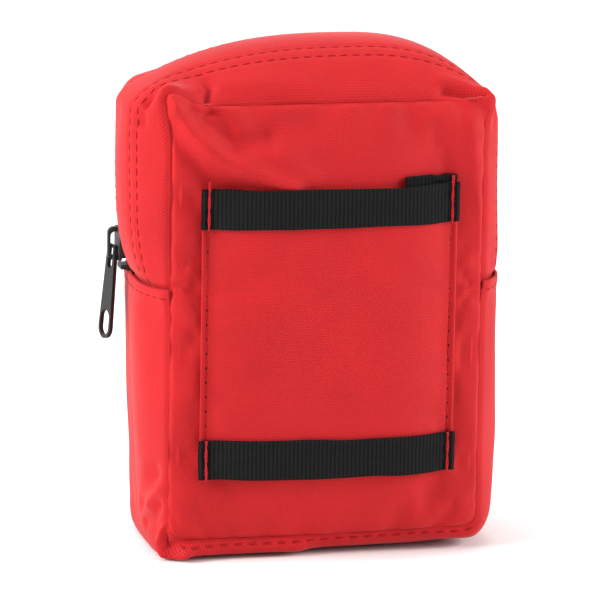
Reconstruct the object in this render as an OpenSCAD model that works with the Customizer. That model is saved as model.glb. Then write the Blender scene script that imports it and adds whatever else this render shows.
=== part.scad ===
// Soft first aid pouch with a belt loop, a lid that zips open and its packed contents.
// Millimetres. +Z up, +X and -X are the sides, the lid faces -Y and the belt loop +Y.
// The origin is the middle of the base, on the surface that the pouch stands on.

/* [Pouch] */
// Width over the side walls
pouch_w = 116; // [116:1:124]
// Height from the base to the top wall
pouch_h = 154; // [154:1:162]
// Depth from the front panel to the back panel
pouch_d = 56; // [56:1:62]
// Thickness of the coated cloth with its lining
cloth_t = 1.2; // [1:0.1:1.4]
// Radius of the two upper corners
corner_top_r = 18; // [16:1:22]
// Radius of the two lower corners
corner_base_r = 12; // [10:1:14]
// Height of the zip's two ends, where the lid folds
fold_z = 85; // [84:1:88]

/* [Zip] */
// Distance of the zip behind or before the middle of the depth
zip_y = -8; // [-9:1:-7]
// Half of the gap between the two cloth edges beside the teeth
zip_gap_half = 4.7; // [4.6:0.1:5]
// Length of the slider
slider_l = 10.5; // [9:0.5:11]
// Length of the pull below its bar
pull_l = 29; // [26:1:32]

/* [Belt loop] */
// Width of the belt loop panel
loop_w = 80; // [74:1:82]
// Height of the belt loop panel with its bindings
loop_h = 90; // [80:1:94]
// Height of the lower edge of the belt loop
loop_z = 26.5; // [22:0.5:30]
// Free depth behind the belt loop panel
loop_gap = 5; // [4.6:0.1:6]
// Width of the black webbing
webbing_w = 12; // [10:1:15]

/* [Contents] */
// Radius of the large bandage rolls
roll_r = 14; // [12:0.5:14]
// Opening angle at which the scissors are drawn, 0 when packed
scissors_open = 0; // [0:1:30]

/* [Hidden] */
$fn = 64;

RED = "crimson";
BLACK = "#1c1c1e";
STEEL = "silver";
GAUZE = "#efe9dc";

half_w = pouch_w / 2;
front_y = -pouch_d / 2;
back_y = pouch_d / 2;
fold_gap = 0.3;                 // clearance between the lid and the lower half
reach = 400;                    // longer than anything here
binding_w = 5;                  // binding over the inner seams

tape_t = 0.6;                   // zip tape
tape_w = 14;
teeth_t = 2.2;                  // zip teeth, across the tape
teeth_in = 0.6;                 // the row's near edge, from the middle of the zip
teeth_out = 3;
end_row_h = 13.2;               // height of the teeth that stay sewn down at each end
lid_row_z = fold_z + end_row_h + fold_gap;
tape_x = half_w - cloth_t;      // outer face of the zip tape
teeth_x = tape_x - tape_t / 2;  // middle of the teeth's thickness

slider_z = fold_z + 3;
plate_t = 0.8;
plate_half = 4.2;
plate_out_x = teeth_x + teeth_t / 2 + 0.3;
plate_in_x = teeth_x - teeth_t / 2 - 0.3;
bridge_foot_x = plate_out_x + plate_t;
bridge_h = 3;
bridge_t = 0.8;
pull_pivot_x = bridge_foot_x + 1.3;
pull_pivot_z = slider_z + 4.4;
pull_t = 1.2;
pull_lean = 5;                  // outward lean of the hanging pull
pull_turn = 16;                 // turn of the pull about its own length

webbing_t = 1.4;
loop_cloth_t = 1.2;
loop_half = loop_w / 2;

blade_t = 1.2;
handle_t = 4;
shear_y = front_y + 2.4;        // front face of the scissors' handles
shear_x = -10;                  // the scissors' pivot
shear_z = 70;
pivot_r = 2;
tweezer_x = -46;
tweezer_z = 134;
tweezer_y = front_y + 2.6;

// ---- helpers ----

// Extrudes an outline drawn in X and Z between two depths.
module slab(y0, y1) {
    translate([0, y1, 0]) rotate([90, 0, 0]) linear_extrude(height = y1 - y0) children();
}

// Extrudes an outline drawn in Y and Z between two widths.
module sheet(x0, x1) {
    translate([x0, 0, 0]) rotate([90, 0, 90]) linear_extrude(height = x1 - x0) children();
}

// Extrudes an outline drawn in X and Y between two heights.
module rise(z0, z1) {
    translate([0, 0, z0]) linear_extrude(height = z1 - z0) children();
}

module box(x0, x1, y0, y1, z0, z1) {
    translate([x0, y0, z0]) cube([x1 - x0, y1 - y0, z1 - z0]);
}

// A rectangle from a to b whose corners are true arcs of radius r.
module round_rect(a, b, r) {
    translate([a[0] + r, a[1]]) square([b[0] - a[0] - 2 * r, b[1] - a[1]]);
    translate([a[0], a[1] + r]) square([b[0] - a[0], b[1] - a[1] - 2 * r]);
    for (x = [a[0] + r, b[0] - r], z = [a[1] + r, b[1] - r]) translate([x, z]) circle(r);
}

// The pouch seen from the front, inset from its outer face.
module outline(inset) {
    w = half_w - inset;
    top = pouch_h - inset;
    rt = corner_top_r - inset;
    rb = corner_base_r - inset;
    translate([-w, inset + rb]) square([2 * w, top - rt - inset - rb]);
    translate([-w + rt, top - rt]) square([2 * (w - rt), rt]);
    translate([-w + rb, inset]) square([2 * (w - rb), rb]);
    for (s = [-1, 1]) {
        translate([s * (w - rt), top - rt]) circle(rt);
        translate([s * (w - rb), inset + rb]) circle(rb);
    }
}

module above(z) {
    intersection() {
        children();
        translate([-reach, z]) square([2 * reach, reach]);
    }
}

module below(z) {
    intersection() {
        children();
        translate([-reach, z - reach]) square([2 * reach, reach]);
    }
}

module band(inset, thick) {
    difference() {
        outline(inset);
        outline(inset + thick);
    }
}

// ---- cloth shell ----

module back_panel() {
    color(RED) slab(back_y - cloth_t, back_y) outline(0);
}

module front_panel_lower() {
    color(RED) slab(front_y, front_y + cloth_t) below(fold_z) outline(0);
}

module front_panel_upper() {
    color(RED) slab(front_y, front_y + cloth_t) above(fold_z + fold_gap) outline(0);
}

module lower_gusset() {
    color(RED) slab(front_y + cloth_t, back_y - cloth_t) below(fold_z) band(0, cloth_t);
}

module rear_zip_gusset() {
    color(RED) slab(zip_y + zip_gap_half, back_y - cloth_t) above(fold_z) band(0, cloth_t);
}

module front_zip_gusset() {
    color(RED) slab(front_y + cloth_t, zip_y - zip_gap_half)
        above(fold_z + fold_gap) band(0, cloth_t);
}

// The folded seam where the zip's cloth meets the lower gusset.
module gusset_join(side) {
    join_h = 2.4;
    join_t = 0.8;
    x = side > 0 ? half_w : -half_w - join_t;
    color(RED) box(x, x + join_t, zip_y - zip_gap_half, back_y - cloth_t, fold_z - join_h, fold_z);
}

module seam_binding(y0) {
    color(BLACK) slab(y0, y0 + binding_w) children();
}

module back_seam_binding() {
    seam_binding(back_y - cloth_t - binding_w) band(cloth_t, cloth_t);
}

module front_seam_binding_lower() {
    seam_binding(front_y + cloth_t) below(fold_z) band(cloth_t, cloth_t);
}

module front_seam_binding_upper() {
    seam_binding(front_y + cloth_t) above(fold_z + fold_gap) band(cloth_t, cloth_t);
}

// ---- zip ----

module tape_band() {
    band(cloth_t, tape_t);
}

module teeth_band() {
    band(cloth_t + tape_t / 2 - teeth_t / 2, teeth_t);
}

module zip_tape_rear() {
    color(BLACK) slab(zip_y + teeth_out, zip_y + tape_w) above(fold_z) tape_band();
}

module zip_tape_front() {
    color(BLACK) slab(zip_y - tape_w + 0.5, zip_y - teeth_out) above(lid_row_z) tape_band();
}

module zip_teeth_rear() {
    color(BLACK) slab(zip_y + teeth_in, zip_y + teeth_out) above(fold_z + 2.6) teeth_band();
}

module zip_teeth_front() {
    color(BLACK) slab(zip_y - teeth_out, zip_y - teeth_in) above(lid_row_z) teeth_band();
}

// The front row's two ends, sewn down below the lid's moving teeth.
module zip_end_rows() {
    module limits() {
        below(fold_z + end_row_h) above(fold_z + 2.6) children();
    }
    color(BLACK) slab(zip_y - teeth_out, zip_y - teeth_in) limits() teeth_band();
    color(BLACK) slab(zip_y - zip_gap_half + 0.3, zip_y - teeth_out) limits() tape_band();
}

// A crimped metal clip across both rows at each end.
module zip_end_stops() {
    clip_t = 2.8;
    for (s = [-1, 1])
        color(STEEL) box(
            s * teeth_x - clip_t / 2, s * teeth_x + clip_t / 2,
            zip_y - teeth_out, zip_y + teeth_out, fold_z + 0.4, fold_z + 1.8);
}

module slider_plate(x) {
    sheet(x, x + plate_t) round_rect([-plate_half, 0], [plate_half, slider_l], 1.8);
}

// Two plates with turned-in flanges, joined by the wedge that parts the teeth.
module slider_body() {
    flange_t = 0.8;
    lip_gap = 0.3;
    color(BLACK) translate([0, zip_y, slider_z]) {
        slider_plate(plate_out_x);
        slider_plate(plate_in_x - plate_t);
        for (s = [-1, 1]) {
            y = s > 0 ? plate_half - flange_t : -plate_half;
            box(tape_x + lip_gap, plate_out_x, y, y + flange_t, 2, slider_l - 2);
            box(plate_in_x, tape_x - tape_t - lip_gap, y, y + flange_t, 2, slider_l - 2);
        }
        box(plate_in_x, plate_out_x, -0.4, 0.4, 0.4, 3.4);
    }
}

// The arch that carries the pull, in X and Z above the slider's outer plate.
module slider_bridge() {
    bridge_half = 0.9;
    leg = 1.5;
    color(BLACK) slab(zip_y - bridge_half, zip_y + bridge_half)
        translate([bridge_foot_x, slider_z]) intersection() {
            difference() {
                round_rect([-bridge_h, 0], [bridge_h, slider_l], 2);
                round_rect([bridge_t - bridge_h, leg], [bridge_h - bridge_t, slider_l - leg], 1.4);
            }
            square([reach, reach]);
        }
}

// A flat tab, narrow at its bar and round at its foot, with an eye at each end.
module pull_outline() {
    top_half = 2.4;
    foot_r = 3.7;
    difference() {
        union() {
            polygon([
                [-top_half, 0], [top_half, 0],
                [foot_r, foot_r - pull_l], [-foot_r, foot_r - pull_l],
            ]);
            translate([0, foot_r - pull_l]) circle(foot_r);
        }
        translate([0, -4.3]) round_rect([-1.4, -2.6], [1.4, 5.2], 1.1);
        round_rect([-2.7, 1 - pull_l], [2.7, 9 - pull_l], 2.69);
    }
}

module zip_pull() {
    color(BLACK) translate([pull_pivot_x, zip_y, pull_pivot_z])
        rotate([0, 0, pull_turn]) rotate([0, -pull_lean, 0]) {
            sheet(-pull_t / 2, pull_t / 2) pull_outline();
            rotate([90, 0, 0]) cylinder(r = pull_t / 2, h = 4.6, center = true);
        }
}

// ---- belt loop ----

// A strip across the back, lifted off it between its two sewn edges, in X and Y.
module loop_profile(lift, thick, half) {
    foot = 3;
    slope = 8;
    crest = back_y + loop_gap + lift;
    base = back_y + lift;
    polygon([
        [-half, base], [-half + foot, base], [-half + foot + slope, crest],
        [half - foot - slope, crest], [half - foot, base], [half, base],
        [half, base + thick], [half - foot, base + thick],
        [half - foot - slope, crest + thick], [-half + foot + slope, crest + thick],
        [-half + foot, base + thick], [-half, base + thick],
    ]);
}

module belt_loop_panel() {
    color(RED) rise(loop_z + 1, loop_z + loop_h - 1) loop_profile(0, loop_cloth_t, loop_half);
}

module webbing(z0) {
    color(BLACK) rise(z0, z0 + webbing_w)
        loop_profile(loop_cloth_t, webbing_t, loop_half + 0.5);
}

module webbing_bottom() {
    webbing(loop_z);
}

// The upper webbing has its end folded back behind the panel, a little askew.
module webbing_top() {
    fold_l = 16;
    webbing(loop_z + loop_h - webbing_w);
    color(BLACK) rise(loop_z + loop_h, loop_z + loop_h + 2.6)
        intersection() {
            loop_profile(0, webbing_t, loop_half);
            translate([-loop_half, 0]) square([fold_l, reach]);
        }
}

// ---- soft contents, in layers from the lid to the back ----

front_layer_y = front_y + 2.6;  // scissors, tweezers, face shield and pins
packet_y = front_y + 7.4;       // flat sachets and packets
roll_y = front_y + 26.1;        // middle of the rolls
gloves_y = back_y - 14.8;
blanket_y = back_y - 10.2;
leaflet_y = back_y - 3.1;

low_roll_z = 19;
mid_roll_z = low_roll_z + 2 * roll_r + 0.6;
shelf_z = mid_roll_z + roll_r + 1;
floor_z = 9;                    // lower edge of the tall flat packets
packet_half = half_w - 12;      // half of their width
split_x = 24;                   // right edge of the thick packets on the rolls

// A soft packet with rounded corners, from one depth to another.
module packet(y0, y1, low, high, r = 3) {
    slab(y0, y1) round_rect(low, high, r);
}

// A rolled bandage along X from x0 to x1.
module lying_roll(x0, x1, z, r) {
    translate([x0, roll_y, z]) rotate([0, 90, 0]) cylinder(r = r, h = x1 - x0);
}

module bandage_roll_large() {
    color(GAUZE) lying_roll(-44, 36, low_roll_z, roll_r);
}

module bandage_roll_medium() {
    color(GAUZE) lying_roll(-48, 12, mid_roll_z, roll_r);
}

module bandage_roll_standing() {
    small_roll_r = 9.5;
    small_roll_l = 60;
    color(GAUZE) translate([split_x + 14, 2.5, shelf_z + 3])
        cylinder(r = small_roll_r, h = small_roll_l);
}

module cohesive_bandage() {
    cohesive_w = 26;
    color("steelblue") slab(roll_y - cohesive_w / 2, roll_y + cohesive_w / 2)
        translate([31, mid_roll_z]) circle(roll_r);
}

// The plaster tape's hub, its tape and the cover that clips over the hub.
tape_x0 = 37.5;
tape_x1 = 49.5;
hub_r = 7.6;
hub_hole_r = 6.4;
flange = 0.8;

module tape_ring(x0, x1, r_out, r_in) {
    difference() {
        lying_roll(x0, x1, low_roll_z, r_out);
        lying_roll(x0 - 1, x1 + 1, low_roll_z, r_in);
    }
}

module tape_spool() {
    color("white") tape_ring(tape_x0, tape_x1, hub_r, hub_hole_r);
    color("white") tape_ring(tape_x0, tape_x0 + flange, roll_r, hub_hole_r);
}

module tape_roll() {
    side_gap = 0.9;
    color("ivory") tape_ring(tape_x0 + side_gap, tape_x1 - side_gap, roll_r - 1, hub_r);
}

module tape_cover() {
    rim_x = tape_x0 + 0.9;
    color("white") tape_ring(tape_x1 - flange, tape_x1, roll_r, hub_r);
    color("white") tape_ring(rim_x, tape_x1 - flange, roll_r, roll_r - 0.9);
}

module wound_dressing() {
    dressing_h = 74;
    color("white") packet(-15.5, -2.2, [-48, shelf_z], [split_x, shelf_z + dressing_h]);
}

module triangular_bandage() {
    bandage_h = 77;
    color("honeydew") packet(-1.6, 12.2, [-48, shelf_z], [split_x, shelf_z + bandage_h]);
}

// A stack of wrapped strips, each a little out of line with the next.
module plaster_strips() {
    count = 9;
    pitch = 0.9;
    wrapper_t = 0.7;
    strip_w = 19;
    strip_h = 72;
    for (i = [0 : count - 1])
        color("tan") translate([split_x + 4 + 0.4 * (i % 2), -15.8 + i * pitch, shelf_z + 0.6 * (i % 3)])
            cube([strip_w, wrapper_t, strip_h]);
}

module wipe_sachets() {
    sachet = [46, 1.1, 48];
    for (i = [0 : 2])
        color("aliceblue") translate([-46 + i * 2.2, packet_y + i * 1.3, 90 - i * 3]) cube(sachet);
}

module gauze_packets() {
    gauze = [43, 1.7, 74];
    for (i = [0 : 1])
        color("white") translate([6.6 - i * 1.6, packet_y + i * 1.9, 62 + i * 2.5]) cube(gauze);
}

module face_shield() {
    color("skyblue") packet(front_layer_y, front_layer_y + 8, [-44, 4], [-4, 25], 2);
}

// Closed safety pins, one behind another.
module safety_pins() {
    pin_l = 34;
    pin_h = 8;
    wire = 1.1;
    for (i = [0 : 3])
        color(STEEL) slab(front_layer_y + i * 2, front_layer_y + i * 2 + wire)
            translate([4 + i, 8 + i]) difference() {
                round_rect([0, 0], [pin_l, pin_h], pin_h / 2 - 0.1);
                round_rect([6, wire], [pin_l - 1, pin_h - wire], pin_h / 2 - wire - 0.1);
            }
}

module gloves_packet() {
    color("lightblue") packet(gloves_y, gloves_y + 4, [-packet_half, floor_z], [packet_half, 128]);
}

module foil_blanket() {
    color("gold") packet(blanket_y, blanket_y + 6.6, [-packet_half, floor_z], [packet_half, 132]);
}

module guide_leaflet() {
    color("whitesmoke") translate([-packet_half, leaflet_y, floor_z])
        cube([2 * packet_half, 0.6, 129]);
}

// ---- scissors and tweezers ----

// One blade with its tang. The pivot is at the origin, the handle above and to the left.
module blade_outline() {
    difference() {
        polygon([
            [-0.4, -43], [0.9, -43.4], [3.9, -7], [4.2, 2.5], [1.5, 5.4],
            [-2.5, 9.5], [-7.5, 27], [-10.5, 26], [-6, 7], [-3.6, -2],
        ]);
        circle(pivot_r + 0.06);
    }
}

// A finger loop with its shank, to the left of the pivot.
module handle_outline() {
    difference() {
        union() {
            polygon([
                [-5.4, 9.5], [-1.2, 10.5], [-2.6, 24], [-3.4, 36],
                [-12, 40], [-24.4, 36], [-12.6, 27],
            ]);
            translate([-15.2, 40]) circle(11.4);
            translate([-15.2, 48]) circle(11.4);
            translate([-26.6, 40]) square([22.8, 8]);
        }
        translate([-15.2, 40]) circle(8.2);
        translate([-15.2, 48]) circle(8.2);
        translate([-23.4, 40]) square([16.4, 8]);
    }
}

module blade(y) {
    slab(y, y + blade_t) blade_outline();
}

module handle(blade_y) {
    difference() {
        slab(shear_y, shear_y + handle_t) handle_outline();
        blade(blade_y);
    }
}

// Places an arm at the pivot, mirrored and turned when it is the moving one.
module arm_place(moving) {
    translate([shear_x, 0, shear_z])
        if (moving) rotate([0, scissors_open, 0]) mirror([1, 0, 0]) children();
        else children();
}

blade_fixed_y = shear_y + 0.7;
blade_moving_y = blade_fixed_y + blade_t + 0.2;

module scissors_blade_fixed() {
    color(STEEL) arm_place(false) blade(blade_fixed_y);
}

module scissors_handle_fixed() {
    color("red") arm_place(false) handle(blade_fixed_y);
}

module scissors_blade_moving() {
    color(STEEL) arm_place(true) blade(blade_moving_y);
}

module scissors_handle_moving() {
    color("red") arm_place(true) handle(blade_moving_y);
}

module scissors_rivet() {
    head_r = 3.2;
    head_t = 0.5;
    y0 = blade_fixed_y;
    y1 = blade_moving_y + blade_t;
    color(STEEL) translate([shear_x, 0, shear_z]) {
        slab(y0 - head_t, y1 + head_t) circle(pivot_r);
        slab(y0 - head_t - 0.1, y0 - 0.1) circle(head_r);
        slab(y1 + 0.1, y1 + head_t + 0.1) circle(head_r);
    }
}

arm_y = [0.9, 3.3];             // depth of the tweezers' arms, inside their head

module tweezers_fixed_arm() {
    color(STEEL) translate([tweezer_x, tweezer_y, tweezer_z]) {
        slab(0.5, 3.7) round_rect([-1.6, -6], [1.6, 4], 1);
        slab(arm_y[0], arm_y[1]) polygon([
            [-1.6, -5], [-0.4, -6], [-2, -40], [-2.2, -84],
            [-3, -84], [-3.6, -70], [-3.2, -40],
        ]);
    }
}

module tweezers_moving_arm() {
    color(STEEL) translate([tweezer_x, tweezer_y, tweezer_z])
        slab(arm_y[0], arm_y[1]) polygon([
            [0.4, -6.3], [1.6, -6.3], [4.9, -40], [5.3, -70], [4.7, -84],
            [3.9, -84], [3.7, -40],
        ]);
}

back_panel();
front_panel_lower();
front_panel_upper();
lower_gusset();
rear_zip_gusset();
front_zip_gusset();
gusset_join(1);  // gusset_join_left
gusset_join(-1);  // gusset_join_right
back_seam_binding();
front_seam_binding_lower();
front_seam_binding_upper();
zip_tape_rear();
zip_tape_front();
zip_teeth_rear();
zip_teeth_front();
zip_end_rows();
zip_end_stops();
slider_body();
slider_bridge();
zip_pull();
belt_loop_panel();
webbing_top();
webbing_bottom();
bandage_roll_large();
bandage_roll_medium();
bandage_roll_standing();
cohesive_bandage();
tape_spool();
tape_roll();
tape_cover();
wound_dressing();
triangular_bandage();
plaster_strips();
gauze_packets();
wipe_sachets();
face_shield();
safety_pins();
gloves_packet();
foil_blanket();
guide_leaflet();
scissors_blade_fixed();
scissors_handle_fixed();
scissors_blade_moving();
scissors_handle_moving();
scissors_rivet();
tweezers_fixed_arm();
tweezers_moving_arm();
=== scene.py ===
import math

import bpy
import numpy as np
from mathutils import Matrix, Vector
from mathutils.kdtree import KDTree


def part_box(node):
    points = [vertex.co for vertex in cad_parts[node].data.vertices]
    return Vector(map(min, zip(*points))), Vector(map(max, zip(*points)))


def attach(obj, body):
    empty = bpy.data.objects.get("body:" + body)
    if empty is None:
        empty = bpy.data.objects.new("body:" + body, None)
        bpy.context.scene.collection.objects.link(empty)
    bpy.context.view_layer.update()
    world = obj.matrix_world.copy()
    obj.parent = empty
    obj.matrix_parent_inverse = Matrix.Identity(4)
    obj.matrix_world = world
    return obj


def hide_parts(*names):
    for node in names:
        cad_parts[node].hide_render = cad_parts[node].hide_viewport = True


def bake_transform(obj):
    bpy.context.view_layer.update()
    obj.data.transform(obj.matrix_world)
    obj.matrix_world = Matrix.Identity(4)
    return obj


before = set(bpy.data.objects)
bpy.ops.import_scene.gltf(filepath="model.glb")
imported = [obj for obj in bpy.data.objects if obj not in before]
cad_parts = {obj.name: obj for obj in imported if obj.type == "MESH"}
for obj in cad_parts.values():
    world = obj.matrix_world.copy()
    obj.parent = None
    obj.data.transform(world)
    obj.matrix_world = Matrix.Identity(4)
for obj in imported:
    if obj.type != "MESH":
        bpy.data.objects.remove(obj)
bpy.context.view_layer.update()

# A small red cloth first aid pouch, seen from its back. Geometry is worked out in
# millimetres in the shared frame, and mesh_object() turns it into metres.

MM = 0.001


def box_mm(node):
    """A CAD node's lowest and highest corner, in millimetres."""
    low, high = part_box(node)
    return np.array(low) / MM, np.array(high) / MM


def linked(name, data):
    """A new object in the scene."""
    obj = bpy.data.objects.new(name, data)
    bpy.context.scene.collection.objects.link(obj)
    return obj


# ---- driving sizes, from the frame ----

_, back_high = box_mm("back_panel")
HALF_W, BACK_Y, CAD_TOP = back_high
FRONT_Y = box_mm("front_panel_lower")[0][1]
FOLD_Z = box_mm("lower_gusset")[1][2]
SLIDER_LOW, SLIDER_HIGH = box_mm("slider_body")
ZIP_Y = (SLIDER_LOW[1] + SLIDER_HIGH[1]) / 2
ZIP_GAP = box_mm("rear_zip_gusset")[0][1] - ZIP_Y - 0.6
TEETH_X = (SLIDER_LOW[0] + SLIDER_HIGH[0]) / 2
LOOP_LOW, LOOP_HIGH = box_mm("belt_loop_panel")
CLOTH_T = 0.9

SEAM_HALF = HALF_W - 8.6            # the sewn corners lie this far inside the widest line
SEAM_TOP = CAD_TOP - 12
SEAM_BASE = 6
SEAM_BACK = BACK_Y - 2
SEAM_FRONT = FRONT_Y + 1.5
FULL_W = HALF_W + 1.6               # widest, where the cloth bulges beyond the stiff CAD form
FULL_TOP = CAD_TOP + 4.6
CREST_X = -9                        # the top is highest a little to the right of the middle
DROP_LEFT, DROP_RIGHT = 23.3, 14.4  # so far from the crest, the top is 1 mm lower
SHOULDER_Z = 105                    # the top's droop fades out down to here
BASE_RISE = 1.3                     # the base lifts this much towards the side without the slider
RESTING_Z = 1.4                     # cloth lower than this rests on the floor
LOOP_SEAM = (35, 41)                # the belt loop's sides are sewn to the back between these X

# ---- camera ----


def make_camera():
    """The view from the back left, a little above, through a long lens."""
    azimuth, elevation, roll = math.radians(166.5), math.radians(12), math.radians(1)
    distance = 1.8
    aim = Vector((0.0022, 0.0, 0.0751))
    back = Vector((
        math.sin(azimuth) * math.cos(elevation),
        -math.cos(azimuth) * math.cos(elevation),
        math.sin(elevation),
    ))
    data = bpy.data.cameras.new("camera")
    data.lens = 348
    data.sensor_width = 36
    camera = linked("camera", data)
    camera.rotation_mode = "QUATERNION"
    turn = (-back).to_track_quat("-Z", "Y").to_matrix() @ Matrix.Rotation(roll, 3, "Z")
    camera.rotation_quaternion = turn.to_quaternion()
    camera.location = aim + back * distance
    bpy.context.scene.camera = camera


# ---- materials ----


class Nodes:
    """A new material's node tree, with short calls for the nodes used here."""

    def __init__(self, name):
        self.material = bpy.data.materials.new(name)
        self.material.use_nodes = True
        self.tree = self.material.node_tree
        self.shader = self.tree.nodes["Principled BSDF"]

    def add(self, kind, inputs=(), **settings):
        node = self.tree.nodes.new(kind)
        for key, value in settings.items():
            setattr(node, key, value)
        for key, value in dict(inputs).items():
            self.feed(node.inputs[key], value)
        return node

    def feed(self, socket, value):
        if isinstance(value, bpy.types.NodeSocket):
            self.tree.links.new(value, socket)
        else:
            socket.default_value = value

    def math(self, operation, a, b=0.0):
        return self.add("ShaderNodeMath", {0: a, 1: b}, operation=operation).outputs[0]

    def times(self, a, b):
        return self.math("MULTIPLY", a, b)

    def plus(self, a, b):
        return self.math("ADD", a, b)

    def mix(self, share, a, b):
        """A colour from a to b, each given as red, green and blue."""
        node = self.add("ShaderNodeMix", data_type="RGBA")
        self.feed(node.inputs["Factor"], share)
        self.feed(node.inputs["A"], (*a, 1.0))
        self.feed(node.inputs["B"], (*b, 1.0))
        return node.outputs["Result"]

    def noise(self, vector, scale, detail, rough=0.5):
        return self.add(
            "ShaderNodeTexNoise",
            {"Vector": vector, "Scale": scale, "Detail": detail, "Roughness": rough},
        ).outputs["Fac"]

    def remap(self, value, low, high, to_low=0.0, to_high=1.0):
        return self.add(
            "ShaderNodeMapRange",
            {0: value, 1: low, 2: high, 3: to_low, 4: to_high},
        ).outputs[0]

    def place_mm(self):
        """The surface point in millimetres."""
        return self.add(
            "ShaderNodeVectorMath",
            {0: self.add("ShaderNodeTexCoord").outputs["Object"], "Scale": 1 / MM},
            operation="SCALE",
        ).outputs[0]

    def cloth_mm(self):
        """Millimetres along and across the cloth, from the mesh's own attribute."""
        return self.add("ShaderNodeAttribute", attribute_name="cloth_mm").outputs["Vector"]

    def bump(self, height, distance, strength, normal=None):
        node = self.add(
            "ShaderNodeBump", {"Height": height, "Distance": distance, "Strength": strength})
        if normal is not None:
            self.feed(node.inputs["Normal"], normal)
        return node.outputs["Normal"]

    def finish(self, **sockets):
        for key, value in sockets.items():
            self.feed(self.shader.inputs[key.replace("_", " ")], value)
        return self.material


def stripes(nodes, along, pitch):
    """A rounded ridge profile from 0 to 1 that repeats every pitch."""
    turns = nodes.times(along, math.pi / pitch)
    return nodes.math("ABSOLUTE", nodes.math("SINE", turns))


def weave(nodes, point, pitch):
    """Height of a twill weave: fat warp floats stepped one yarn per row."""
    parts = nodes.add("ShaderNodeSeparateXYZ", {0: point}).outputs
    across, along = parts[0], parts[1]
    row = nodes.math("FLOOR", nodes.math("DIVIDE", along, pitch))
    shifted = nodes.plus(across, nodes.times(row, pitch * 0.5))
    warp = stripes(nodes, shifted, pitch)
    weft = stripes(nodes, along, pitch)
    twill = stripes(nodes, nodes.plus(across, along), pitch * 1.6)
    body = nodes.times(warp, weft)
    return nodes.plus(nodes.times(body, 0.55), nodes.times(twill, 0.45))


def red_cloth_material(name="red_cloth", shade=1.0):
    nodes = Nodes(name)
    point = nodes.cloth_mm()
    place = nodes.place_mm()
    yarn = weave(nodes, point, 0.62)
    broad = nodes.noise(place, 0.045, 2.0)
    fine = nodes.noise(point, 2.6, 3.0, 0.6)
    deep = (0.19 * shade, 0.002, 0.003)
    bright = (0.63 * shade, 0.013, 0.017)
    tone = nodes.plus(nodes.times(yarn, 0.55), nodes.times(fine, 0.45))
    tone = nodes.plus(tone, nodes.times(broad, 0.25))
    colour = nodes.mix(nodes.remap(tone, 0.2, 0.95), deep, bright)
    grain = nodes.bump(yarn, 0.00007, 0.8)
    grain = nodes.bump(nodes.noise(place, 0.35, 3.0), 0.0004, 0.22, grain)
    return nodes.finish(
        Base_Color=colour, Normal=grain, Roughness=nodes.remap(yarn, 0, 1, 0.8, 0.62),
        Sheen_Weight=0.15, Sheen_Roughness=0.4, Sheen_Tint=(1.0, 0.55, 0.55, 1.0),
        Specular_IOR_Level=0.2,
    )


def thread_material(name, colour, dark):
    nodes = Nodes(name)
    place = nodes.place_mm()
    twist = nodes.add(
        "ShaderNodeTexWave", {"Vector": place, "Scale": 1.6, "Distortion": 2.0},
        bands_direction="DIAGONAL",
    ).outputs["Fac"]
    return nodes.finish(
        Base_Color=nodes.mix(twist, dark, colour), Roughness=0.7, Specular_IOR_Level=0.15,
        Normal=nodes.bump(twist, 0.00005, 0.7),
    )


def webbing_material():
    """Black woven webbing: upright ribs, each a run of small knots."""
    nodes = Nodes("black_webbing")
    parts = nodes.add("ShaderNodeSeparateXYZ", {0: nodes.cloth_mm()}).outputs
    along, across = parts[0], parts[1]
    rib = stripes(nodes, along, 1.3)
    row = nodes.math("FLOOR", nodes.math("DIVIDE", along, 1.3))
    knot = stripes(nodes, nodes.plus(across, nodes.times(row, 0.35)), 0.7)
    yarn = nodes.times(rib, nodes.plus(nodes.times(knot, 0.5), 0.5))
    fuzz = nodes.noise(nodes.place_mm(), 3.0, 3.0, 0.7)
    tone = nodes.times(yarn, nodes.plus(fuzz, 0.35))
    return nodes.finish(
        Base_Color=nodes.mix(tone, (0.003, 0.003, 0.003), (0.016, 0.0155, 0.0155)),
        Roughness=0.85, Specular_IOR_Level=0.08, Normal=nodes.bump(yarn, 0.0002, 0.7),
    )


def enamel_material(name, colour, worn):
    """Painted metal, with fine scratches and a little wear in scattered specks."""
    nodes = Nodes(name)
    place = nodes.place_mm()
    speck = nodes.noise(place, 1.6, 4.0, 0.7)
    wear = nodes.remap(speck, 0.62, 0.72)
    return nodes.finish(
        Base_Color=nodes.mix(nodes.times(wear, 0.6), colour, worn),
        Roughness=nodes.remap(speck, 0.3, 0.7, 0.42, 0.6), Specular_IOR_Level=0.35,
        Normal=nodes.bump(nodes.noise(place, 5.0, 3.0), 0.00004, 0.5),
    )


def paper_material(name, colour, shade, pitch, rough=0.7, depth=0.0001):
    """Paper, film or gauze: a faint cross weave or crease pattern over a pale ground."""
    nodes = Nodes(name)
    place = nodes.place_mm()
    parts = nodes.add("ShaderNodeSeparateXYZ", {0: place}).outputs
    cross = nodes.times(stripes(nodes, parts[0], pitch), stripes(nodes, parts[2], pitch))
    crumple = nodes.noise(place, 0.25, 4.0, 0.6)
    tone = nodes.plus(nodes.times(cross, 0.5), nodes.times(crumple, 0.5))
    normal = nodes.bump(cross, depth, 0.6)
    return nodes.finish(
        Base_Color=nodes.mix(tone, shade, colour), Roughness=rough,
        Normal=nodes.bump(crumple, 0.0006, 0.3, normal),
    )


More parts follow.
